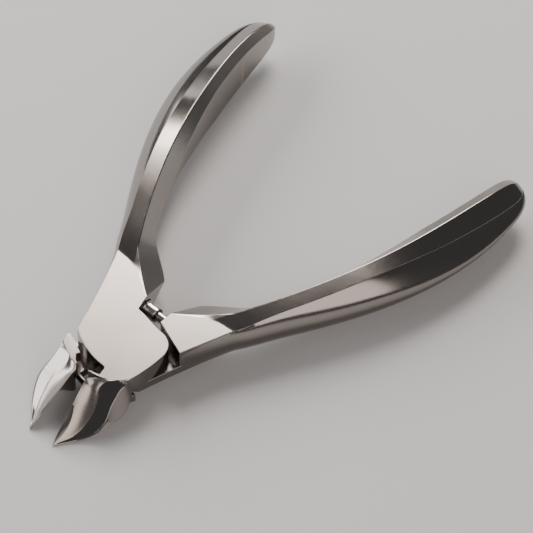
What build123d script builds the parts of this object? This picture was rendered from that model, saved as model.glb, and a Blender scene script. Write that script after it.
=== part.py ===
from build123d import *
import os
from math import atan2, cos, pi, sin, sqrt

# Nail nipper: two forged levers crossed in a lap joint, a hidden pivot screw and a
# telescoping spring plunger between the handle heels. Millimetres, +X along the handles,
# +Z up out of the front face. The origin is where the pivot axis meets the joint's front face.

# ---- driving dimensions -------------------------------------------------------------
joint_depth = 7.0          # front face to back face at the joint
back_layer = 2.3           # depth of the joint's back layer
layer_gap = 0.05           # running gap between the two layers
open_half_angle = 6.7      # each lever's turn away from the closing line, degrees
pivot_to_tip = 26.0        # along the closing line, jaws
pivot_to_end = 93.0        # along the closing line, handles

facet_start = 16.7         # where the handle's ridge leaves the flat land
ridge_start_y = 9.25
ridge_slope = 0.48         # the ridge runs out on a parabola: start slope and its easing
ridge_easing = 0.0036
facet_width = 3.8          # outside the ridge
bevel_width = 2.3          # inside the ridge
belly_station = 70.0       # where the handle is widest
belly_half = 6.05
neck_drop = 5.3            # the keel lies this much further inside the ridge at the neck
neck_end = 31.0
bevel_opens = 43.5         # the inner bevel's front and back edges part from here
bevel_open = 66.0          # and are fully apart from here
shoulder_step = 0.8        # extra width of the outer facet beside the joint
outer_bulge = 1.0          # the outer side's bulge at the joint, and what it gains on the way
bulge_gain = 3.9

screw_head_radius = 3.4
screw_head_depth = 1.1
screw_shank_radius = 2.3
screw_thread_radius = 1.75
screw_thread_length = 3.0
pivot_clearance = 0.05
slot_width = 0.8
slot_depth = 0.7

seat_x = 10.5              # the plunger's end centres, at rest
seat_y = 6.2
barrel_radius = 1.75
barrel_bore = 1.35
barrel_mouth_y = 0.13      # where the barrel ends, at rest
groove_y = 2.65            # the turned groove round the barrel
groove_width = 0.3
groove_depth = 0.2
bore_past_seat = 0.7       # the barrel's bore stops this far past the seat centre
pin_radius = 1.1
pin_tail_radius = 1.28
pin_tail_length = 1.2
lip_radius = 1.55
lip_length = 0.8
lip_proud = 0.25
lip_clearance = 0.04
tail_to_lip = 0.1
spring_wire = 0.28
spring_turns = 5.5
spring_end_gap = 0.02
spring_side_gap = 0.06
swing_room = 0.32          # radial room for the plunger's ends in their heel sockets

half = joint_depth / 2
split_z = back_layer - half
end_point = pivot_to_end + 0.4


# ---- the plan outlines of the joint, in a lever's own frame -------------------------
# A lever's own frame has the closing line along X, its handle at +Y and its jaw at -Y.
def cover_outline():
    """The layer that runs right across the joint, from the heel to the jaw."""
    heel_in = (7.6, 1.65)
    heel_out = (11.2, 2.2)
    bulge_in = (5.3, -5.4)
    bulge_out = (1.0, -9.8)
    horn_tip = (-11.55, 0.95)
    edges = [
        Line((17.0, 9.0), heel_out),
        Line(heel_out, heel_in),
        Line(heel_in, bulge_in),
        ThreePointArc(bulge_in, (4.1, -8.4), bulge_out),
        ThreePointArc(bulge_out, (-3.5, -9.1), (-8.3, -7.6)),
        ThreePointArc((-8.3, -7.6), (-10.75, -4.4), horn_tip),
        Line(horn_tip, (-11.25, 0.95)),
        Line((-11.25, 0.95), (-11.0, -1.5)),
        Line((-11.0, -1.5), (-9.4, -1.5)),
        ThreePointArc((-9.4, -1.5), (-8.9, -1.3), (-8.7, -0.8)),
        ThreePointArc((-8.7, -0.8), (-7.3, 4.0), (-4.0, 9.2)),
        ThreePointArc((-4.0, 9.2), (6.7, 11.4), (17.9, 14.4)),
        Line((17.9, 14.4), (17.0, 9.0)),
    ]
    return make_face(edges)


def shoulder_outline():
    """The other layer's handle side: it stops at a shoulder that faces the joint."""
    points = [(7.6, 1.65), (11.2, 2.2), (17.0, 9.0), (17.9, 14.4), (5.6, 11.15), (8.15, 2.3)]
    return make_face(Polyline(*points, close=True))


def jaw_root_outline():
    """The other layer's jaw side: a root that clears the covering layer's edge."""
    points = [(-7.9, -7.9), (-9.6, -2.8), (-11.0, -3.4), (-11.85, -1.1), (-12.2, -1.4), (-12.1, -3.2),
              (-10.5, -7.3), (-8.3, -8.7)]
    return make_face(Polyline(*points, close=True))


def layer(face, low, high):
    """A plan outline given its depth between two heights."""
    return extrude(Pos(0, 0, low) * face, high - low)


# ---- the handle ---------------------------------------------------------------------
def ridge_y(x):
    run = x - facet_start
    return ridge_start_y + ridge_slope * run - ridge_easing * run * run


def ridge_half(x):
    """Half the handle's width in Z: rises off the land to the belly, then a blunt round end."""
    if x < belly_station:
        left = (belly_station - x) / (belly_station - facet_start)
        return belly_half - (belly_half - half) * left ** 2
    return belly_half * sqrt(1 - ((x - belly_station) / (end_point - belly_station)) ** 2.3)


def ease(x, start, stop):
    """A smooth step from 0 at start to 1 at stop."""
    t = min(max((x - start) / (stop - start), 0), 1)
    return t * t * (3 - 2 * t)


def close_in(x, start):
    """1 along the handle, falling to nearly 0 on its round end."""
    return sqrt(1 - max((x - start) / (end_point - start), 0) ** 4)


def bulge_at(x):
    """How far the outer side stands out in the middle: a skewed half wave along the handle."""
    along = max((x - 14) / (pivot_to_end - 14), 0)
    return (outer_bulge + bulge_gain * sin(pi * along ** 1.4)) * close_in(x, 83)


def handle_section(x):
    """Ridge, bevel and rounded outer side at one station, the same front and back."""
    top = ridge_half(x)
    ridge = ridge_y(x)
    keel = neck_drop * (1 - ease(x, 17.5, neck_end)) ** 1.3 + bevel_width * close_in(x, 85)
    inner = ridge - keel
    opened = max((min(x, bevel_open) - bevel_opens) / (bevel_open - bevel_opens), 0)
    inner_top = max(top * 0.8 * opened ** 0.55, 0.25)
    outer = ridge + (facet_width + shoulder_step * (1 - ease(x, facet_start, neck_end))) * close_in(x, 83)
    outer_top = top * (0.99 - 0.55 * ease(x, 45, 88))
    bulge = min(bulge_at(x), 1.5 * outer_top)
    return closed_section(x, 0, (ridge, top), (outer, outer_top), bulge, (inner, inner_top))


def closed_section(x, slant, ridge, outer, bulge, inner):
    """Ridge, outer and inner (y, z) corners joined up; slant leans the plane in plan."""
    def corner(y, z):
        return (x + slant * (y - ridge[0]), y, z)

    front = [corner(*inner), corner(*ridge), corner(*outer)]
    back = [corner(y, -z) for y, z in (outer, ridge, inner)]
    side = ThreePointArc(front[-1], corner(outer[0] + bulge, 0), back[0])
    return Wire(Polyline(*front).edges() + [side] + Polyline(*back, front[0]).edges())


def handle():
    """The handle lofted through its stations, from inside the joint to its end."""
    slanted = closed_section(facet_start, 0.24, (ridge_start_y, half), (14.45, half), 0.9, (6.5, 1.6))
    stations = [22, 27, 33, 40, 47, 54, 62, belly_station, 78, 84, 88, 91, pivot_to_end]
    return loft([Face(slanted)] + [Face(handle_section(x)) for x in stations])


def neck():
    """The block between the heel and the handle, bevelled down to a keel at mid-depth."""
    keel_point = (18.8, 2.95)
    outline = [(8.15, 2.3), (7.6, 1.65), keel_point, (22.0, 6.4), (22.0, 15.6), (17.9, 14.4), (5.6, 11.15)]
    block = layer(make_face(Polyline(*outline, close=True)), -half, half)
    land_edge = (11.2, 2.2)
    along = atan2(8.9, 9.6)
    reach = 4.45
    frame = Plane(origin=(*land_edge, 0), x_dir=(sin(along), -cos(along), 0),
                  z_dir=(-cos(along), -sin(along), 0))
    for side in (1, -1):
        wedge = Polyline((-0.3, side * (half + 0.23)), (reach, 0), (reach + 6, 0),
                         (reach + 6, side * (half + 1)), (-0.3, side * (half + 1)), close=True)
        cut = extrude(frame * make_face(wedge), 16, both=True)
        block = block - cut
    return block


# ---- the jaw ------------------------------------------------------------------------
def jaw_section(x, cut_y, cut_z, *corners):
    """Cutting edge, hollow's outer edge, crease, low outer corner, foot and relieved inside."""
    return Face(Wire(Polyline((x, cut_y, cut_z), *[(x, y, z) for y, z in corners], close=True)))


def edge_z(x):
    """The cutting edge falls straight from the front face to the point."""
    return min(half - 0.02, 0.55 + 0.744 * (x + 18))


def jaw():
    """The beak: hollow face, two outer facets, foot and inside, from the root to the point."""
    sections = {
        -10.2: (-3.6, (-5.4, 3.46), (-7.7, 3.46), (-8.8, -1.7), (-8.0, -3.45), (-3.6, -3.45)),
        -11.4: (-2.3, (-4.2, 3.46), (-7.3, 2.9), (-9.05, -2.0), (-8.1, -4.0), (-2.7, -3.9)),
        -13.0: (-0.3, (-3.35, 2.55), (-7.15, 1.7), (-9.1, -2.4), (-8.1, -4.5), (-0.75, -4.6)),
        -15.0: (-0.02, (-4.1, 0.8), (-7.15, 0.2), (-8.8, -2.7), (-7.6, -4.6), (-2.6, -4.8)),
        -17.0: (-0.02, (-4.35, -1.2), (-7.3, -1.65), (-8.2, -3.2), (-6.8, -4.8), (-3.0, -4.5)),
        -19.0: (-0.02, (-4.0, -3.0), (-6.45, -3.15), (-7.0, -3.8), (-5.7, -5.15), (-2.6, -4.6)),
        -21.0: (-0.02, (-3.3, -4.4), (-4.95, -4.35), (-5.35, -4.6), (-4.4, -5.6), (-2.1, -5.2)),
        -23.0: (-0.02, (-2.1, -5.3), (-3.0, -5.0), (-3.2, -5.2), (-2.6, -5.85), (-1.3, -5.7)),
        -25.0: (-0.02, (-0.75, -5.55), (-1.1, -5.58), (-1.18, -5.68), (-0.9, -5.95), (-0.45, -5.92)),
        -pivot_to_tip: (-0.02, (-0.2, -5.62), (-0.3, -5.76), (-0.33, -5.85), (-0.26, -5.98), (-0.12, -5.95)),
    }
    faces = [jaw_section(x, corners[0], edge_z(x), *corners[1:]) for x, corners in sections.items()]
    return loft(faces, ruled=True)


# ---- the two levers -----------------------------------------------------------------
def lever(cover_low, cover_high, other_low, other_high):
    """One lever in its own frame: two joint layers, neck, handle and jaw."""
    cover = layer(cover_outline(), cover_low, cover_high)
    shoulder = layer(shoulder_outline(), other_low, other_high)
    root = layer(jaw_root_outline(), other_low, other_high)
    return cover + shoulder + root + neck() + handle() + jaw()


def disc(radius, low, high):
    """A solid cylinder on the pivot axis between two heights."""
    return Pos(0, 0, (low + high) / 2) * Cylinder(radius, high - low)


def heel_socket(radius, end_y, side):
    """The round-ended hole in a heel that one end of the plunger sits and rocks in."""
    reach = 9.0
    bottom = side * end_y
    hole = Pos(seat_x, bottom - side * reach / 2, 0) * Rot(90, 0, 0) * Cylinder(radius, reach)
    return hole + Pos(seat_x, bottom, 0) * Sphere(radius)


def front_lever():
    """Covers the joint at the front, takes the screw in a blind hole from behind."""
    body = lever(split_z, half, -half, split_z - layer_gap)
    body = Rot(0, 0, open_half_angle) * body
    body = body - disc(screw_thread_radius, split_z - 1, split_z + screw_thread_length)
    return body - heel_socket(barrel_radius + swing_room, seat_y, 1)


def back_lever():
    """Runs across behind the front layer, bored and countersunk for the screw."""
    body = lever(-half, split_z - layer_gap, split_z, half)
    body = Rot(0, 0, -open_half_angle) * mirror(body, about=Plane.XZ)
    body = body - disc(screw_shank_radius + pivot_clearance, -half - 1, half + 1)
    body = body - disc(screw_head_radius + pivot_clearance, -half - 1, -half + screw_head_depth)
    return body - heel_socket(pin_radius + swing_room, seat_y, -1)


# ---- the fittings -------------------------------------------------------------------
def pivot_screw():
    """A slotted cheese-head shoulder screw, flush with the back face."""
    head = disc(screw_head_radius, -half + 0.1, -half + screw_head_depth - pivot_clearance)
    shank = disc(screw_shank_radius, -half + 0.5, split_z)
    thread = disc(screw_thread_radius, split_z - 0.5, split_z + screw_thread_length - 0.3)
    slot = Pos(0, 0, -half + 0.1) * Box(3 * screw_head_radius, slot_width, 2 * slot_depth)
    return head + shank + thread - slot


def along_plunger(radius, low, high):
    """A cylinder along the plunger's axis between two places in Y."""
    return Pos(seat_x, (low + high) / 2, 0) * Rot(90, 0, 0) * Cylinder(radius, high - low)


def spring_barrel():
    """The plunger's outer tube: round foot, ring and groove near the heel, open mouth."""
    tube = along_plunger(barrel_radius, barrel_mouth_y, seat_y) + Pos(seat_x, seat_y, 0) * Sphere(barrel_radius)
    groove = along_plunger(barrel_radius + 1, groove_y, groove_y + groove_width)
    groove = groove - along_plunger(barrel_radius - groove_depth, groove_y - 1, groove_y + 1)
    bore = along_plunger(barrel_bore, barrel_mouth_y - 1, seat_y + bore_past_seat)
    counterbore = along_plunger(lip_radius, barrel_mouth_y - 1, barrel_mouth_y + lip_length - lip_proud)
    return tube - groove - bore - counterbore


def barrel_lip():
    """The ring in the barrel's mouth that keeps the pin's tail in."""
    low = barrel_mouth_y - lip_proud
    ring = along_plunger(lip_radius, low, low + lip_length)
    return ring - along_plunger(pin_radius + lip_clearance, low - 1, low + lip_length + 1)


def pin_tail_y():
    """Where the pin's inner end stands at rest."""
    return barrel_mouth_y + lip_length - lip_proud + pin_tail_length + tail_to_lip


def plunger_pin():
    """The inner pin: a tail that runs in the barrel, and a round end in the back heel."""
    end = pin_tail_y()
    tail = along_plunger(pin_tail_radius, end - pin_tail_length, end)
    shaft = along_plunger(pin_radius, -seat_y, end - 0.2)
    return shaft + tail + Pos(seat_x, -seat_y, 0) * Sphere(pin_radius)


def return_spring():
    """The coil spring between the pin's tail and the bottom of the barrel."""
    low = pin_tail_y() + spring_wire / 2 + spring_end_gap
    high = seat_y + bore_past_seat - spring_wire / 2 - spring_end_gap
    radius = barrel_bore - spring_wire / 2 - spring_side_gap
    path = Helix((high - low) / spring_turns, high - low, radius)
    section = Plane(origin=path @ 0, z_dir=path % 0) * Circle(spring_wire / 2)
    coil = sweep(section, path=path)
    return Pos(seat_x, low, 0) * Rot(-90, 0, 0) * coil


def build():
    """Every piece, lowered so that the joint's front face is at Z = 0."""
    pieces = {
        "front_lever": front_lever(),
        "back_lever": back_lever(),
        "pivot_screw": pivot_screw(),
        "spring_barrel": spring_barrel(),
        "barrel_lip": barrel_lip(),
        "plunger_pin": plunger_pin(),
        "return_spring": return_spring(),
    }
    return {name: Pos(0, 0, -half) * piece for name, piece in pieces.items()}


os.makedirs("parts", exist_ok=True)
for name, piece in build().items():
    export_step(piece, f"parts/{name}.step")
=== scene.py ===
import math

import bmesh
import bpy
import numpy as np
from mathutils import Matrix, Vector


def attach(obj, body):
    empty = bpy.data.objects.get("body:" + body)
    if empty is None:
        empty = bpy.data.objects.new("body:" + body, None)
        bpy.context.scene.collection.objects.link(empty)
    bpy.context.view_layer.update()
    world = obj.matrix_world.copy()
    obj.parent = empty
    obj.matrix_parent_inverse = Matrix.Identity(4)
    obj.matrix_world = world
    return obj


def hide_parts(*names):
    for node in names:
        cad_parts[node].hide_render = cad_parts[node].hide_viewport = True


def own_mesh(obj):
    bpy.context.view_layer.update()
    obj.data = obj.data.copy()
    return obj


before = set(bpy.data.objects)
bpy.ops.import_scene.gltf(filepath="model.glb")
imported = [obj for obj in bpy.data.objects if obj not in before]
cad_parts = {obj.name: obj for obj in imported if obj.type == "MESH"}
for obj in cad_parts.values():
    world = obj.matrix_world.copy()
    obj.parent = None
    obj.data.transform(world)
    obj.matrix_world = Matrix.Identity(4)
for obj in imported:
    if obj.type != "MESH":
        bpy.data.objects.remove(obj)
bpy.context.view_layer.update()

# ---- front lever and back lever --------------------------------------------------------
# Two forged and ground levers of grey hard steel, crossed in a lap joint. Each one is a heel
# with a faceted handle on one side of the pivot and a hollow-ground beak on the other.
MM = 0.001
JOINT_HALF = 3.5           # half the joint's depth
LAYER_SPLIT = -1.2         # where the front layer stops, above the joint's middle
LAYER_GAP = 0.05           # running gap between the two layers
OPEN_TURN = math.radians(6.7)
FLUSH = 0.004              # the handle's root lies this far under the layers that cover it
EDGE = 0.13                # rounding of a worked edge

HEEL_START, HEEL_Y = 11.2, 2.1
FACET_START = 16.7         # where the handle's ridge leaves the flat land
PINCH = 20.8               # where the land runs out to nothing beside the ridge
BELLY, BELLY_HALF = 70.0, 6.05
HANDLE_END = 93.0
END_POINT = HANDLE_END + 0.4
RIDGE_Y = 9.25             # the ridge runs out on a parabola from here
RIDGE_SLOPE, RIDGE_EASING = 0.48, 0.0036
FACET_WIDTH = 3.8          # outside the ridge
SHOULDER_STEP = 0.8        # extra width of that facet beside the joint
BEVEL_WIDTH = 2.3          # inside the ridge
BEVEL_OPENS, BEVEL_OPEN = 43.5, 66.0    # the front and back bevels part between these
KEEL_START, KEEL_END = 18.8, 31.0       # the neck's keel, and where it meets the bevel
NECK_DROP = 5.3            # the keel lies this much further inside the ridge at the neck
OUTER_BULGE, BULGE_GAIN = 1.0, 3.8      # the outer side's bulge at the joint, and its gain
HALF_TURN = math.pi / 2

SEAT_X, SEAT_Y = 10.5, 6.2              # the plunger's end centres
BARREL_SOCKET, PIN_SOCKET = 2.07, 1.42  # the heels' holes for them
SCREW_HEAD, SCREW_HEAD_DEPTH = 3.4, 1.1
SCREW_SHANK = 2.3
SCREW_THREAD, SCREW_THREAD_DEPTH = 1.75, 3.0
SCREW_ROOM = 0.05                       # radial room round the head and the shank

LAND, SIDE, BEVEL, HOLLOW = range(4)


def ease(x, start, stop):
    """A smooth step from 0 at start to 1 at stop."""
    t = np.clip((x - start) / (stop - start), 0, 1)
    return t * t * (3 - 2 * t)


def arc(start, middle, end, count=14):
    """Points on the circle through three points, from start up to but without end."""
    (ax, ay), (bx, by), (cx, cy) = start, middle, end
    d = 2 * (ax * (by - cy) + bx * (cy - ay) + cx * (ay - by))
    a2, b2, c2 = ax * ax + ay * ay, bx * bx + by * by, cx * cx + cy * cy
    centre = np.array([a2 * (by - cy) + b2 * (cy - ay) + c2 * (ay - by),
                       a2 * (cx - bx) + b2 * (ax - cx) + c2 * (bx - ax)]) / d
    turn = [math.atan2(p[1] - centre[1], p[0] - centre[0]) for p in (start, middle, end)]
    sweep = (turn[2] - turn[0]) % (2 * math.pi)
    if (turn[1] - turn[0]) % (2 * math.pi) > sweep:
        sweep -= 2 * math.pi
    angle = turn[0] + sweep * np.arange(count) / count
    radius = math.hypot(ax - centre[0], ay - centre[1])
    return centre + radius * np.stack([np.cos(angle), np.sin(angle)], 1)


def cover_outline():
    """The layer that runs right across the joint, from the heel to the jaw."""
    return np.concatenate([
        [(17.0, 9.0), (HEEL_START, HEEL_Y), (7.6, 1.65), (7.0, -0.4)],
        arc((5.3, -5.4), (4.1, -8.4), (1.0, -9.8)),
        arc((1.0, -9.8), (-3.5, -9.1), (-8.3, -7.6)),
        arc((-8.3, -7.6), (-10.8, -4.4), (-11.58, 1.0)),
        [(-11.58, 1.0), (-11.3, 1.0), (-11.0, -1.5)],
        arc((-9.4, -1.5), (-8.9, -1.3), (-8.7, -0.8), 5),
        arc((-8.7, -0.8), (-7.3, 4.0), (-4.0, 9.2)),
        arc((-4.0, 9.2), (6.7, 11.4), (17.9, 14.4), 20),
        [(17.9, 14.4)],
    ])[::-1]


def shoulder_outline():
    """The other layer's handle side: its shoulder faces the joint across a gap."""
    return np.array([(17.0, 9.0), (17.9, 14.4), (5.7, 11.1), (8.15, 2.3), (HEEL_START, HEEL_Y)])


def root_outline():
    """The other layer's jaw side: a root that clears the covering layer's edge."""
    return np.array([(-7.9, -7.9), (-9.6, -2.8), (-11.0, -3.4), (-11.8, -1.2), (-12.15, -1.35),
                     (-12.0, -3.2), (-10.5, -7.3), (-8.3, -8.75)])


def inset(outline, amount):
    """The outline moved inwards along the mean of its two edges' normals at each point."""
    before = outline - np.roll(outline, 1, 0)
    after = np.roll(outline, -1, 0) - outline
    before = before / np.linalg.norm(before, axis=1, keepdims=True)
    after = after / np.linalg.norm(after, axis=1, keepdims=True)
    left = np.stack([-before[:, 1] - after[:, 1], before[:, 0] + after[:, 0]], 1)
    left = left / np.linalg.norm(left, axis=1, keepdims=True)
    across = np.abs(left[:, 0] * -before[:, 1] + left[:, 1] * before[:, 0])
    return outline + left * (amount / np.maximum(across, 0.5))[:, None]


def tube_faces(rows, columns):
    """Quads between neighbouring rows of a closed loop, and the loops' two end faces."""
    r, c = np.meshgrid(np.arange(rows - 1), np.arange(columns), indexing="ij")
    n = (c + 1) % columns
    here, above = r * columns, (r + 1) * columns
    quads = np.stack([here + c, here + n, above + n, above + c], -1)
    last = (rows - 1) * columns
    return quads.reshape(-1, 4), [list(range(columns))[::-1], list(range(last, last + columns))]


def slab(outline, low, high):
    """A plan outline given its depth; its edges roll over on a quarter circle."""
    steps = np.linspace(0, HALF_TURN, 4)
    moves = EDGE * (1 - np.sin(steps))
    lifts = EDGE * (1 - np.cos(steps))
    rows = list(zip(moves, low + lifts)) + list(zip(moves[::-1], high - lifts[::-1]))
    moved = inset(outline, 1.0) - outline
    loops = [np.column_stack([outline + moved * move, np.full(len(outline), height)])
             for move, height in rows]
    points = np.concatenate(loops)
    quads, caps = tube_faces(len(rows), len(outline))
    kind = [SIDE] * len(quads) + [LAND] * 2
    return points, [list(q) for q in quads] + caps, kind


def ridge_y(x):
    """The ridge's place across the lever: a parabola along the handle."""
    run = x - FACET_START
    return RIDGE_Y + RIDGE_SLOPE * run - RIDGE_EASING * run * run


def ridge_half(x):
    """Half the handle's depth: rises off the land to the belly, then a blunt round end."""
    left = (BELLY - x) / (BELLY - FACET_START)
    rise = BELLY_HALF - (BELLY_HALF - JOINT_HALF) * np.maximum(left, 0) ** 2.4
    fall = np.clip((x - BELLY) / (END_POINT - BELLY), 0, 1)
    end = BELLY_HALF * np.sqrt(1 - fall ** 2.3)
    return np.where(x < FACET_START, JOINT_HALF, np.where(x < BELLY, rise, end))


def close_in(x, start):
    """1 along the handle, falling to nearly 0 on a round end."""
    return np.sqrt(1 - np.clip((x - start) / (END_POINT - start), 0, 1) ** 4)


def corners_rounded(corners, reach):
    """Each corner of a stack of closed loops becomes a short quadratic curve: three points
    that leave one side and join the next. corners is a list of (stations, 3) arrays."""
    out = []
    for k, point in enumerate(corners):
        before = corners[k - 1] - point
        after = corners[(k + 1) % len(corners)] - point
        size_b = np.linalg.norm(before, axis=1, keepdims=True)
        size_a = np.linalg.norm(after, axis=1, keepdims=True)
        start = point + before / size_b * np.minimum(reach, 0.3 * size_b)
        end = point + after / size_a * np.minimum(reach, 0.3 * size_a)
        out += [start, (start + 2 * point + end) / 4, end]
    return out


def handle_shell():
    """Neck and handle: a closed loop of corners carried along the lever. From the heel the
    inner edge runs along the land and then the ridge, and the keel lies ahead of it."""
    s = np.concatenate([np.linspace(HEEL_START, PINCH, 16)[:-1], np.linspace(PINCH, 84, 64)[:-1],
                        84 + (HANDLE_END - 84) * np.sin(np.linspace(0, HALF_TURN, 18))])
    u = s - HEEL_START
    inner_in = close_in(s, 85)
    outer_in = close_in(s, 83)
    share = (s - HEEL_START) / (FACET_START - HEEL_START)

    def point(x, y, z):
        return np.stack([x, y, z], 1)

    on_joint = s < FACET_START
    top = ridge_half(s)
    top_flush = np.where(on_joint, JOINT_HALF, top) - FLUSH
    ridge_x = np.where(on_joint, 9.0 + (FACET_START - 9.0) * share, s)
    ridge = np.where(on_joint, 5.87 + (RIDGE_Y - 5.87) * share, ridge_y(s))

    keel_x = np.maximum(KEEL_START + u * 0.596, s)
    depth = NECK_DROP * (1 - ease(keel_x, 17.5, KEEL_END)) ** 1.3
    keel_y = ridge_y(keel_x) - BEVEL_WIDTH * inner_in - depth
    opened = np.clip((keel_x - BEVEL_OPENS) / (BEVEL_OPEN - BEVEL_OPENS), 0, 1)
    keel_z = np.maximum(ridge_half(keel_x) * 0.8 * opened ** 0.55, 0.1)

    width = (FACET_WIDTH + SHOULDER_STEP * (1 - ease(s, FACET_START, 30))) * outer_in
    lean = 1.26 * (1 - ease(s, FACET_START, 26))
    out_x = np.where(on_joint, 6.0 + (17.96 - 6.0) * share, s + lean)
    out_y = np.where(on_joint, 11.0 + (14.45 - 11.0) * share, ridge_y(out_x) + width)
    out_z = np.where(on_joint, JOINT_HALF, top * (0.99 - 0.55 * ease(s, 45, 88))) - FLUSH
    along = np.clip((s - 14) / (HANDLE_END - 14), 0, 1)
    wave = np.sin(math.pi * along ** 1.4)
    bulge = (OUTER_BULGE + BULGE_GAIN * wave) * outer_in * ease(s, 7, 19) + 0.03

    land_y = HEEL_Y + 1.10 * u - 0.0170 * u * u
    edge = point(s, np.where(s < PINCH, land_y, ridge), top_flush)
    keel = point(keel_x, keel_y, keel_z)
    ridge_point = point(ridge_x, ridge, top_flush)
    outer = point(out_x, out_y, out_z)
    toward_keel = (keel - ridge_point) / np.linalg.norm(keel - ridge_point, axis=1, keepdims=True)
    toward_out = (outer - ridge_point) / np.linalg.norm(outer - ridge_point, axis=1, keepdims=True)
    past = (s >= PINCH)[:, None]
    small = np.minimum(0.12, 0.2 * np.linalg.norm(outer - ridge_point, axis=1))[:, None]
    edge = np.where(past, ridge_point + toward_keel * small, edge)
    ridge_point = np.where(past, ridge_point + toward_out * small, ridge_point)
    flip = np.array([1, 1, -1])
    front = corners_rounded([keel, edge, ridge_point, outer, outer * flip, ridge_point * flip,
                             edge * flip, keel * flip], EDGE)
    loop = front[0:12]                                # keel, edge, ridge and outer, in front
    for level in np.linspace(1, -1, 15)[1:-1]:        # the outer side is a parabola in depth
        loop.append(point(out_x, out_y + bulge * (1 - level ** 2), out_z * level))
    loop += front[12:24]
    count = len(loop)
    rows = np.stack(loop, 1)
    points = rows.reshape(-1, 3)
    quads, caps = tube_faces(len(s), count)
    column = np.tile(np.arange(count), len(s) - 1)
    bevel = (column < 4) | (column >= count - 4)
    kind = np.where(bevel, BEVEL, SIDE)
    on_land = np.repeat(on_joint[:-1], count) & (column >= 4) & (column < 12)
    on_sliver = np.repeat(s[:-1] < PINCH, count) & (column >= 4) & (column < 7)
    kind = np.where(on_land | on_sliver, LAND, kind)
    heel = [list(range(0, 5))[::-1] + list(range(count - 5, count))[::-1]]
    rest = [list(range(4, count - 4))[::-1]]
    return points, [list(q) for q in quads] + heel + rest + [caps[1]], list(kind) + [BEVEL, SIDE, SIDE]


def smooth_columns(x, stations, table):
    """A cubic through each column of the table, with slopes from the neighbours on each side."""
    table = np.asarray(table, float)
    slope = np.gradient(table, stations, axis=0)
    k = np.clip(np.searchsorted(stations, x) - 1, 0, len(stations) - 2)
    span = (stations[k + 1] - stations[k])[:, None]
    t = ((x - stations[k])[:, None]) / span
    return ((1 + 2 * t) * (1 - t) ** 2 * table[k] + t * (1 - t) ** 2 * span * slope[k]
            + t * t * (3 - 2 * t) * table[k + 1] - t * t * (1 - t) * span * slope[k + 1])


def jaw_shell():
    """The beak: hollow face, two outer facets, foot and a relieved inside, carried from the
    joint to the point. The cutting edge falls straight from the front face to the point."""
    sections = np.array([
        # station, edge y, hollow y z, crease y z, low outer y z, foot y z, inside y z
        [-26.0, -0.02, -0.20, -5.62, -0.30, -5.76, -0.33, -5.85, -0.26, -5.98, -0.12, -5.95],
        [-25.0, -0.02, -0.75, -5.55, -1.10, -5.64, -1.18, -5.74, -0.90, -5.95, -0.45, -5.92],
        [-23.0, -0.02, -2.10, -5.30, -3.00, -5.38, -3.20, -5.52, -2.60, -5.85, -1.30, -5.70],
        [-21.0, -0.02, -3.30, -4.40, -4.95, -4.68, -5.35, -4.92, -4.40, -5.60, -2.10, -5.20],
        [-19.0, -0.02, -4.00, -3.00, -6.45, -3.42, -7.00, -3.95, -5.70, -5.15, -2.60, -4.60],
        [-17.0, -0.02, -4.35, -1.20, -7.30, -1.75, -8.20, -3.20, -6.80, -4.80, -3.00, -4.50],
        [-15.0, -0.02, -4.10, 0.80, -7.15, 0.20, -8.80, -2.70, -7.60, -4.60, -2.60, -4.80],
        [-13.0, -0.30, -3.35, 2.55, -7.15, 1.70, -9.10, -2.40, -8.10, -4.50, -0.75, -4.60],
        [-11.4, -2.30, -4.20, 3.46, -7.30, 2.90, -9.05, -2.00, -8.10, -4.00, -2.70, -3.90],
        [-10.2, -3.60, -5.40, 3.46, -7.70, 3.46, -8.80, -1.70, -8.00, -3.45, -3.60, -3.45],
        [-8.6, -4.60, -6.20, 3.46, -7.80, 3.46, -8.20, -1.50, -7.70, -3.40, -4.40, -3.40],
    ])
    x = np.concatenate([np.linspace(-26.0, -13.0, 60)[:-1], np.linspace(-13.0, -8.6, 16)])
    value = smooth_columns(x, sections[:, 0], sections[:, 1:])
    value[:, [2, 4]] = np.minimum(value[:, [2, 4]], 3.47)      # no higher than the land
    cut_z = np.minimum(3.44, 0.55 + 0.744 * (x + 18))

    def point(y, z):
        return np.stack([x, y, z], 1)

    cut = point(value[:, 0], cut_z)
    hollow, crease, low_outer, foot, inside = (
        point(value[:, k], value[:, k + 1]) for k in (1, 3, 5, 7, 9))
    rounded = corners_rounded([cut, hollow, crease, low_outer, foot, inside], EDGE)
    cut_edge = cut + (rounded[1] - cut) * 0.25        # the cutting edge stays almost sharp
    start = rounded[3]
    chord = start - cut_edge
    length = np.linalg.norm(chord, axis=1, keepdims=True)
    normal = np.stack([0 * x, -chord[:, 2], chord[:, 1]], 1) / length
    normal = normal * np.sign(normal[:, 2:3] + 1e-9)
    sag = length * ((0.11 + 0.08 * (1 - ease(-x, 13, 17))) * ease(-x, 11.4, 12.8))[:, None]
    loop = [cut_edge]
    for t in np.linspace(0, 1, 10)[1:-1]:             # ground hollow, a shallow parabola
        loop.append(cut_edge + chord * t - normal * sag * 4 * t * (1 - t))
    hollow_columns = len(loop)
    loop += rounded[3:18]
    back = rounded[17]
    for t in np.linspace(0, 1, 7)[1:-1]:              # the inside is relieved the same way
        loop.append(back + (cut_edge - back) * t - np.array([0, 0.7 * t * (1 - t), 0]))
    count = len(loop)
    points = np.stack(loop, 1).reshape(-1, 3)
    quads, caps = tube_faces(len(x), count)
    column = np.tile(np.arange(count), len(x) - 1)
    kind = np.where(column < hollow_columns, HOLLOW, SIDE)
    return points, [list(q) for q in quads] + caps, list(kind) + [SIDE, SIDE]


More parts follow.
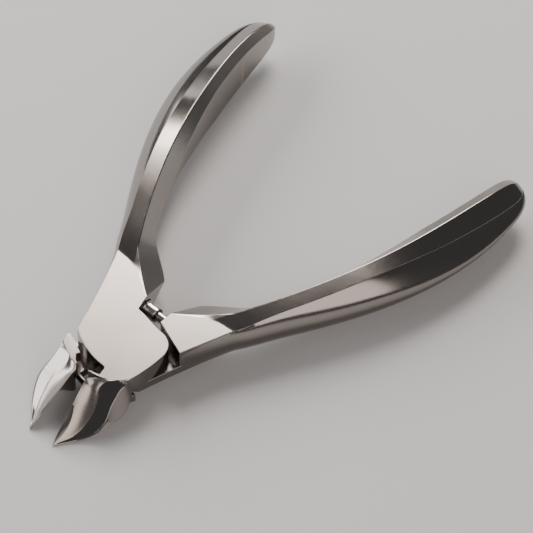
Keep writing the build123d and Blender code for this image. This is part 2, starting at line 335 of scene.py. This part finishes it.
def round_bar(start, end, radius, ball_end=False, count=40):
    """A closed round bar between two points, for the holes: circles carried along a line."""
    start, end = np.array(start, float), np.array(end, float)
    axis = (end - start) / np.linalg.norm(end - start)
    side = np.cross(axis, [0.3, 0.5, 0.81])
    side = side / np.linalg.norm(side)
    up = np.cross(axis, side)
    angle = np.arange(count) * 2 * math.pi / count
    ring = np.outer(np.cos(angle), side) + np.outer(np.sin(angle), up)
    rows = [start + ring * radius, end + ring * radius]
    if ball_end:
        for turn in np.linspace(0, HALF_TURN, 9)[1:-1]:
            rows.append(end + axis * radius * math.sin(turn) + ring * radius * math.cos(turn))
        rows.append(end + axis * radius * 0.999 + ring * radius * 0.04)
    quads, caps = tube_faces(len(rows), count)
    return np.concatenate(rows), [list(q) for q in quads] + caps, [SIDE] * (len(quads) + 2)


def make_mesh(name, points, faces, kinds, materials):
    """A mesh object, in metres, from points in millimetres; its normals point outwards."""
    mesh = bpy.data.meshes.new(name)
    mesh.from_pydata((points * MM).tolist(), [], faces)
    for material in materials:
        mesh.materials.append(material)
    mesh.polygons.foreach_set("material_index", np.array(kinds, np.int32))
    obj = bpy.data.objects.new(name, mesh)
    bpy.context.scene.collection.objects.link(obj)
    turn_outwards(mesh)
    return obj


def turn_outwards(mesh):
    """Recalculates the faces' directions on a closed shell."""
    shell = bmesh.new()
    shell.from_mesh(mesh)
    bmesh.ops.recalc_face_normals(shell, faces=shell.faces)
    shell.to_mesh(mesh)
    shell.free()


def combine(base, others, operation):
    """Adds closed shells to base, or cuts them from it, and bakes the result into its mesh."""
    for other in others:
        modifier = base.modifiers.new("combine", "BOOLEAN")
        modifier.operation = operation
        modifier.solver = "MANIFOLD"
        modifier.object = other
    graph = bpy.context.evaluated_depsgraph_get()
    result = bpy.data.meshes.new_from_object(base.evaluated_get(graph))
    base.modifiers.clear()
    old = base.data
    base.data = result
    bpy.data.meshes.remove(old)
    for other in others:
        bpy.data.objects.remove(other)


def finish_shading(obj, sharp=34):
    """Smooth shading that keeps flat faces flat: larger faces lead the normals."""
    obj.data.shade_smooth()
    obj.data.set_sharp_from_angle(angle=math.radians(sharp))
    weighted = obj.modifiers.new("lead_by_area", "WEIGHTED_NORMAL")
    weighted.mode = "FACE_AREA"
    weighted.weight = 100
    weighted.keep_sharp = True


def place(points, side):
    """From a lever's own frame to the tool's: side 1 is the front lever, -1 the mirrored
    back one."""
    c, s = math.cos(OPEN_TURN), math.sin(OPEN_TURN) * side
    x, y, z = points[:, 0], points[:, 1] * side, points[:, 2]
    return np.stack([c * x - s * y, s * x + c * y, z - JOINT_HALF], 1)


def steel(name, colour, roughness, grain_scale, grain_bump, speckle=0.0):
    """Satin grey steel: a fine drawn grain and a soft tonal drift, darker in the lines,
    and a painted highlight that brightens the colour on sharp convex edges."""
    material = bpy.data.materials.new(name)
    material.use_nodes = True
    nodes, links = material.node_tree.nodes, material.node_tree.links
    shader = nodes["Principled BSDF"]
    shader.inputs["Metallic"].default_value = 1.0
    place_node = nodes.new("ShaderNodeTexCoord")
    stretch = nodes.new("ShaderNodeMapping")
    stretch.inputs["Scale"].default_value = grain_scale
    links.new(place_node.outputs["Object"], stretch.inputs["Vector"])
    grain = nodes.new("ShaderNodeTexNoise")
    grain.inputs["Scale"].default_value = 1.0
    grain.inputs["Detail"].default_value = 6.0
    links.new(stretch.outputs["Vector"], grain.inputs["Vector"])
    drift = nodes.new("ShaderNodeTexNoise")
    drift.inputs["Scale"].default_value = 90.0
    drift.inputs["Detail"].default_value = 2.0
    links.new(place_node.outputs["Object"], drift.inputs["Vector"])
    ramp = nodes.new("ShaderNodeMapRange")
    ramp.inputs["From Min"].default_value = 0.3
    ramp.inputs["From Max"].default_value = 0.7
    ramp.inputs["To Min"].default_value = roughness - 0.035
    ramp.inputs["To Max"].default_value = roughness + 0.045
    mixed = nodes.new("ShaderNodeMath")
    mixed.operation = "MULTIPLY_ADD"
    mixed.inputs[1].default_value = 0.6
    links.new(grain.outputs["Fac"], mixed.inputs[0])
    halved = nodes.new("ShaderNodeMath")
    halved.operation = "MULTIPLY"
    halved.inputs[1].default_value = 0.4
    links.new(drift.outputs["Fac"], halved.inputs[0])
    links.new(halved.outputs[0], mixed.inputs[2])
    links.new(mixed.outputs[0], ramp.inputs["Value"])
    links.new(ramp.outputs["Result"], shader.inputs["Roughness"])
    tone = nodes.new("ShaderNodeMixRGB")
    tone.inputs["Color1"].default_value = (*[c * 0.93 for c in colour], 1)
    tone.inputs["Color2"].default_value = (*[min(1, c * 1.07) for c in colour], 1)
    links.new(mixed.outputs[0], tone.inputs["Fac"])
    # painted highlight: the colour is brightened on sharp convex edges, where light glints off the
    # rounding
    edge_shape = nodes.new("ShaderNodeNewGeometry")
    edge_highlight_mask = nodes.new("ShaderNodeMapRange")
    edge_highlight_mask.inputs["From Min"].default_value = 0.53
    edge_highlight_mask.inputs["From Max"].default_value = 0.62
    edge_highlight_mask.inputs["To Max"].default_value = 0.7
    links.new(edge_shape.outputs["Pointiness"], edge_highlight_mask.inputs["Value"])
    painted_edge_highlight = nodes.new("ShaderNodeMixRGB")
    painted_edge_highlight.inputs["Color2"].default_value = (*[min(1, c * 1.7) for c in colour], 1)
    links.new(edge_highlight_mask.outputs["Result"], painted_edge_highlight.inputs["Fac"])
    links.new(tone.outputs["Color"], painted_edge_highlight.inputs["Color1"])
    links.new(painted_edge_highlight.outputs["Color"], shader.inputs["Base Color"])
    bump = nodes.new("ShaderNodeBump")
    bump.inputs["Strength"].default_value = grain_bump
    bump.inputs["Distance"].default_value = 0.00002
    links.new(grain.outputs["Fac"], bump.inputs["Height"])
    if speckle:
        dots = nodes.new("ShaderNodeTexVoronoi")
        dots.inputs["Scale"].default_value = 5200.0
        links.new(place_node.outputs["Object"], dots.inputs["Vector"])
        pits = nodes.new("ShaderNodeBump")
        pits.inputs["Strength"].default_value = speckle
        pits.inputs["Distance"].default_value = 0.00003
        links.new(dots.outputs["Distance"], pits.inputs["Height"])
        links.new(bump.outputs["Normal"], pits.inputs["Normal"])
        links.new(pits.outputs["Normal"], shader.inputs["Normal"])
    else:
        links.new(bump.outputs["Normal"], shader.inputs["Normal"])
    return material


LEVER_COLOUR = (0.33, 0.30, 0.28)
lever_finishes = [
    steel("satin_land_steel", LEVER_COLOUR, 0.20, (500, 9000, 9000), 0.12),
    # the side faces are the same steel as the land; their darker colour is painted shade
    steel("side_steel_painted_shade", (0.27, 0.245, 0.23), 0.15, (700, 5000, 9000), 0.10),
    # the bevel's blasted speckle and roughness are real; its lighter colour is painted light
    steel("blasted_bevel_steel_painted_light", (0.38, 0.355, 0.335), 0.30, (4000, 4000, 4000), 0.25, speckle=0.5),
    # the hollow's ground grain is real; its lighter colour is painted light
    steel("ground_hollow_steel_painted_light", (0.38, 0.335, 0.305), 0.29, (7000, 900, 900), 0.45),
]


def lever(name, side):
    """One lever: layers, shoulder, root, handle and beak made one, with its holes cut."""
    front = side > 0
    cover = (LAYER_SPLIT, JOINT_HALF) if front else (-JOINT_HALF, LAYER_SPLIT - LAYER_GAP)
    other = (-JOINT_HALF, LAYER_SPLIT - LAYER_GAP) if front else (LAYER_SPLIT, JOINT_HALF)
    shells = [slab(cover_outline(), *cover), slab(shoulder_outline(), *other),
              slab(root_outline(), *other), handle_shell(), jaw_shell()]
    made = [make_mesh(f"{name}_{k}", place(points, side), faces, kinds, lever_finishes)
            for k, (points, faces, kinds) in enumerate(shells)]
    body = made[0]
    combine(body, made[1:], "UNION")
    seat_y = SEAT_Y * side
    socket = BARREL_SOCKET if front else PIN_SOCKET
    back_z, split_z = -2 * JOINT_HALF, LAYER_SPLIT - JOINT_HALF
    holes = [round_bar((SEAT_X, seat_y - side * 9, -JOINT_HALF), (SEAT_X, seat_y, -JOINT_HALF),
                       socket, True)]
    if front:
        holes.append(round_bar((0, 0, split_z - 1), (0, 0, split_z + SCREW_THREAD_DEPTH),
                               SCREW_THREAD))
    else:
        for radius, top in ((SCREW_SHANK, 1), (SCREW_HEAD, back_z + SCREW_HEAD_DEPTH)):
            holes.append(round_bar((0, 0, back_z - 1), (0, 0, top), radius + SCREW_ROOM, count=72))
    cutters = [make_mesh(f"{name}_hole_{k}", *hole, lever_finishes) for k, hole in enumerate(holes)]
    combine(body, cutters, "DIFFERENCE")
    body.name = body.data.name = name
    finish_shading(body)
    return body


front_lever = lever("front_lever_forging", 1)
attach(front_lever, "front_lever")
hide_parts("front_lever")

back_lever = lever("back_lever_forging", -1)
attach(back_lever, "back_lever")
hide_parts("back_lever")

# ---- pivot screw ------------------------------------------------------------------------
# A turned shoulder screw, put in from behind; its slotted head lies just below the back face.
def turned(profile, centre, axis, columns=64):
    """Rows of circles whose (radius, place along the axis) follow a closed-off profile."""
    profile = np.array(profile, float)
    angle = np.arange(columns) * 2 * math.pi / columns
    along = np.array(axis, float)
    side = np.array([along[1], along[2], along[0]])
    up = np.cross(along, side)
    ring = np.outer(np.cos(angle), side) + np.outer(np.sin(angle), up)
    points = (np.array(centre, float) + profile[:, None, :1] * ring + profile[:, None, 1:] * along)
    quads, caps = tube_faces(len(profile), columns)
    faces = [list(q) for q in quads] + caps
    return points.reshape(-1, 3), faces, [0] * len(faces)


def bevelled(*corners, cut=0.06):
    """A turned profile whose corners are broken by a small chamfer."""
    out = [corners[0]]
    for before, corner, after in zip(corners[:-2], corners[1:-1], corners[2:]):
        for other in (before, after):
            gap = math.dist(other, corner)
            share = min(cut, gap * 0.4) / gap
            out.append(tuple(c + (o - c) * share for c, o in zip(corner, other)))
    return out + [corners[-1]]


def turned_steel(name, colour, roughness, centre, axis):
    """Turned steel: fine rings left by the tool, round the part's own axis."""
    material = bpy.data.materials.new(name)
    material.use_nodes = True
    nodes, links = material.node_tree.nodes, material.node_tree.links
    shader = nodes["Principled BSDF"]
    shader.inputs["Metallic"].default_value = 1.0
    where = nodes.new("ShaderNodeTexCoord")
    turn = nodes.new("ShaderNodeMapping")
    turn.inputs["Location"].default_value = [-c * MM for c in centre]
    links.new(where.outputs["Object"], turn.inputs["Vector"])
    rings = nodes.new("ShaderNodeTexWave")
    rings.wave_type = "BANDS"
    rings.bands_direction = axis
    rings.inputs["Scale"].default_value = 2600.0
    rings.inputs["Distortion"].default_value = 1.2
    rings.inputs["Detail"].default_value = 3.0
    links.new(turn.outputs["Vector"], rings.inputs["Vector"])
    cloud = nodes.new("ShaderNodeTexNoise")
    cloud.inputs["Scale"].default_value = 1500.0
    links.new(where.outputs["Object"], cloud.inputs["Vector"])
    rough = nodes.new("ShaderNodeMapRange")
    rough.inputs["To Min"].default_value = roughness - 0.05
    rough.inputs["To Max"].default_value = roughness + 0.07
    links.new(cloud.outputs["Fac"], rough.inputs["Value"])
    links.new(rough.outputs["Result"], shader.inputs["Roughness"])
    tone = nodes.new("ShaderNodeMixRGB")
    tone.inputs["Color1"].default_value = (*[c * 0.88 for c in colour], 1)
    tone.inputs["Color2"].default_value = (*[min(1, c * 1.08) for c in colour], 1)
    links.new(rings.outputs["Fac"], tone.inputs["Fac"])
    links.new(tone.outputs["Color"], shader.inputs["Base Color"])
    bump = nodes.new("ShaderNodeBump")
    bump.inputs["Strength"].default_value = 0.25
    bump.inputs["Distance"].default_value = 0.00001
    links.new(rings.outputs["Fac"], bump.inputs["Height"])
    links.new(bump.outputs["Normal"], shader.inputs["Normal"])
    return material


head_low = -2 * JOINT_HALF + 0.1
head_high = -2 * JOINT_HALF + SCREW_HEAD_DEPTH - SCREW_ROOM
shank_high = LAYER_SPLIT - JOINT_HALF
thread_high = shank_high + SCREW_THREAD_DEPTH - 0.3
screw_steel = turned_steel("turned_screw_steel", (0.52, 0.49, 0.47), 0.22, (0, 0, 0), "X")
screw = make_mesh("pivot_screw_turned", *turned(
    bevelled((0.02, head_low), (SCREW_HEAD, head_low), (SCREW_HEAD, head_high),
             (SCREW_SHANK, head_high), (SCREW_SHANK, shank_high), (SCREW_THREAD, shank_high),
             (SCREW_THREAD, thread_high), (0.02, thread_high), cut=0.12),
    (0, 0, 0), (0, 0, 1)), [screw_steel])
slot_points = np.array([(x, y, z) for z in (head_low - 0.7, head_low + 0.7) for x, y in
                        ((-5, -0.4), (5, -0.4), (5, 0.4), (-5, 0.4))], float)
slot_faces = [[3, 2, 1, 0], [4, 5, 6, 7], [0, 1, 5, 4], [1, 2, 6, 5], [2, 3, 7, 6], [3, 0, 4, 7]]
slot = make_mesh("screw_slot", slot_points, slot_faces, [0] * 6, [screw_steel])
combine(screw, [slot], "DIFFERENCE")
finish_shading(screw)
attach(screw, "front_lever")
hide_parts("pivot_screw")

# ---- spring plunger -----------------------------------------------------------------------
# A turned tube that rocks in the front lever's heel, a pin that slides in it and rocks in the
# back lever's heel, a ring pressed in the tube's mouth, coloured black as painted shade, and a coil
# spring inside.
SEAT = (SEAT_X, 0, -JOINT_HALF)
BARREL, BORE, LIP = 1.75, 1.35, 1.55    # radii
PIN, TAIL = 1.1, 1.28
MOUTH = 0.13               # where the barrel ends, with the handles open
GROOVE, GROOVE_WIDTH = 2.65, 0.3
LIP_PROUD, LIP_LENGTH = 0.25, 0.8
LIP_ROOM = 0.04            # radial room between ring and pin
TAIL_LENGTH = 1.2
BORE_END = SEAT_Y + 0.7
WIRE, COILS = 0.28, 5.5
END_ROOM = 0.02            # between the coil's ends and what they push on


def quarter(radius, centre, start, stop, count=8):
    """(radius, height) points on a circle about a point of the axis, for a ball end."""
    return [(max(radius * math.cos(a), 0.02), centre + radius * math.sin(a))
            for a in np.linspace(start, stop, count)]


barrel_steel = turned_steel("turned_barrel_steel", (0.66, 0.62, 0.60), 0.20, SEAT, "Y")
lip_low, lip_high = MOUTH - LIP_PROUD, MOUTH - LIP_PROUD + LIP_LENGTH
groove_end = GROOVE + GROOVE_WIDTH
outside = bevelled((LIP, MOUTH), (BARREL, MOUTH), (BARREL, GROOVE), (LIP, GROOVE),
                   (LIP, groove_end), (BARREL, groove_end), (BARREL, SEAT_Y))
ball = quarter(BARREL, SEAT_Y, 0, HALF_TURN)[1:]
inside = [(0.02, BORE_END), (BORE, BORE_END), (BORE, lip_high), (LIP, lip_high), (LIP, MOUTH)]
barrel = make_mesh("spring_barrel_turned", *turned(outside + ball + inside, SEAT, (0, 1, 0)),
                   [barrel_steel])
finish_shading(barrel)
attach(barrel, "barrel")
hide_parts("spring_barrel")

# the ring's black colour is painted shade for the shaded end of the barrel's mouth
lip_ring_shade_steel = turned_steel("ring_steel_painted_black_shade", (0.06, 0.052, 0.05), 0.3, SEAT, "Y")
lip_bore = PIN + LIP_ROOM
lip = make_mesh("barrel_lip_ring", *turned(
    bevelled((lip_bore, lip_low), (LIP, lip_low), (LIP, lip_high), (lip_bore, lip_high),
             (lip_bore, lip_low), cut=0.07), SEAT, (0, 1, 0)), [lip_ring_shade_steel])
finish_shading(lip)
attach(lip, "barrel")
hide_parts("barrel_lip")

pin_top = lip_high + 0.1 + TAIL_LENGTH
tail_low = pin_top - TAIL_LENGTH
pin_steel = turned_steel("turned_pin_steel", (0.70, 0.65, 0.62), 0.18, SEAT, "Y")
pin = make_mesh("plunger_pin_turned", *turned(
    quarter(PIN, -SEAT_Y, -HALF_TURN, 0)
    + bevelled((PIN, -SEAT_Y + 0.1), (PIN, tail_low), (TAIL, tail_low), (TAIL, pin_top),
               (0.02, pin_top)), SEAT, (0, 1, 0)), [pin_steel])
finish_shading(pin)
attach(pin, "plunger")
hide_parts("plunger_pin")


def coil(radius, wire, low, high, turns, around=14, per_turn=40):
    """A round wire carried along a helix about the plunger's axis, its ends closed."""
    t = np.linspace(0, 1, int(turns * per_turn) + 1)[:, None]
    swing = 2 * math.pi * turns * t
    line = np.hstack([radius * np.cos(swing), low + (high - low) * t, -radius * np.sin(swing)])
    out = np.hstack([np.cos(swing), 0 * t, -np.sin(swing)])
    tangent = np.gradient(line, axis=0)
    tangent = tangent / np.linalg.norm(tangent, axis=1, keepdims=True)
    up = np.cross(tangent, out)
    turn = np.arange(around) * 2 * math.pi / around
    ring = (out[:, None, :] * np.cos(turn)[None, :, None]
            + up[:, None, :] * np.sin(turn)[None, :, None])
    points = line[:, None, :] + wire / 2 * ring
    quads, caps = tube_faces(len(t), around)
    faces = [list(q) for q in quads] + caps
    return points.reshape(-1, 3) + np.array(SEAT), faces, [0] * len(faces)


spring_steel = turned_steel("drawn_spring_wire", (0.45, 0.45, 0.47), 0.25, SEAT, "Y")
coil_low = pin_top + WIRE / 2 + END_ROOM
coil_high = BORE_END - WIRE / 2 - END_ROOM
spring = make_mesh("return_spring_coil",
                   *coil(BORE - WIRE / 2 - 0.06, WIRE, coil_low, coil_high, COILS), [spring_steel])
finish_shading(spring, 50)
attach(spring, "barrel")
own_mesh(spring)      # the coil gets a mesh of its own
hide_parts("return_spring")

# ---- floor, light and camera ------------------------------------------------------------
# The tool lies on a pale matt table under large soft lights.
floor_z = min(v.co.z for v in front_lever.data.vertices)
floor_mesh = bpy.data.meshes.new("floor")
reach = 3.0
floor_mesh.from_pydata([(-reach, -reach, floor_z), (reach, -reach, floor_z), (reach, reach, floor_z),
                        (-reach, reach, floor_z)], [], [(0, 1, 2, 3)])
floor = bpy.data.objects.new("floor", floor_mesh)
bpy.context.scene.collection.objects.link(floor)
paint = bpy.data.materials.new("pale_floor")
paint.use_nodes = True
paint_shader = paint.node_tree.nodes["Principled BSDF"]
paint_shader.inputs["Base Color"].default_value = (0.62, 0.62, 0.63, 1)
paint_shader.inputs["Roughness"].default_value = 0.6
floor_mesh.materials.append(paint)


def soft_light(name, direction, distance, size, watts, colour=(1, 1, 1)):
    """A square soft light that looks at the tool's middle from a direction."""
    data = bpy.data.lights.new(name, "AREA")
    data.shape = "RECTANGLE"
    data.size, data.size_y = size
    data.energy = watts
    data.color = colour
    lamp = bpy.data.objects.new(name, data)
    bpy.context.scene.collection.objects.link(lamp)
    target = Vector((0.02, 0, 0))
    lamp.location = target + Vector(direction).normalized() * distance
    lamp.rotation_euler = (target - lamp.location).to_track_quat("-Z", "Y").to_euler()


soft_light("key", (0.63, 0.42, 0.65), 1.2, (0.50, 0.50), 12.5, (1.0, 0.93, 0.87))
soft_light("window", (-0.26, 0.90, 0.41), 0.9, (1.6, 0.35), 12.0)
soft_light("fill", (-0.36, -0.76, 0.57), 1.0, (0.9, 0.8), 5.0, (1.0, 0.91, 0.84))

world = bpy.data.worlds.new("studio")
bpy.context.scene.world = world
world.use_nodes = True
world.node_tree.nodes["Background"].inputs["Color"].default_value = (0.12, 0.12, 0.125, 1)

camera_data = bpy.data.cameras.new("camera")
camera_data.sensor_width = 36
camera_data.lens = 205.74
camera_data.clip_start = 0.01
camera = bpy.data.objects.new("camera", camera_data)
bpy.context.scene.collection.objects.link(camera)
look_back = Vector((-0.479126, -0.385775, 0.788426))
up = Vector((0.590306, 0.523145, 0.614702))
right = up.cross(look_back).normalized()
up = look_back.cross(right).normalized()
turn = Matrix((right, up, look_back.normalized())).transposed().to_4x4()
camera.matrix_world = Matrix.Translation(Vector((-0.277761, -0.261234, 0.512679))) @ turn
bpy.context.scene.camera = camera
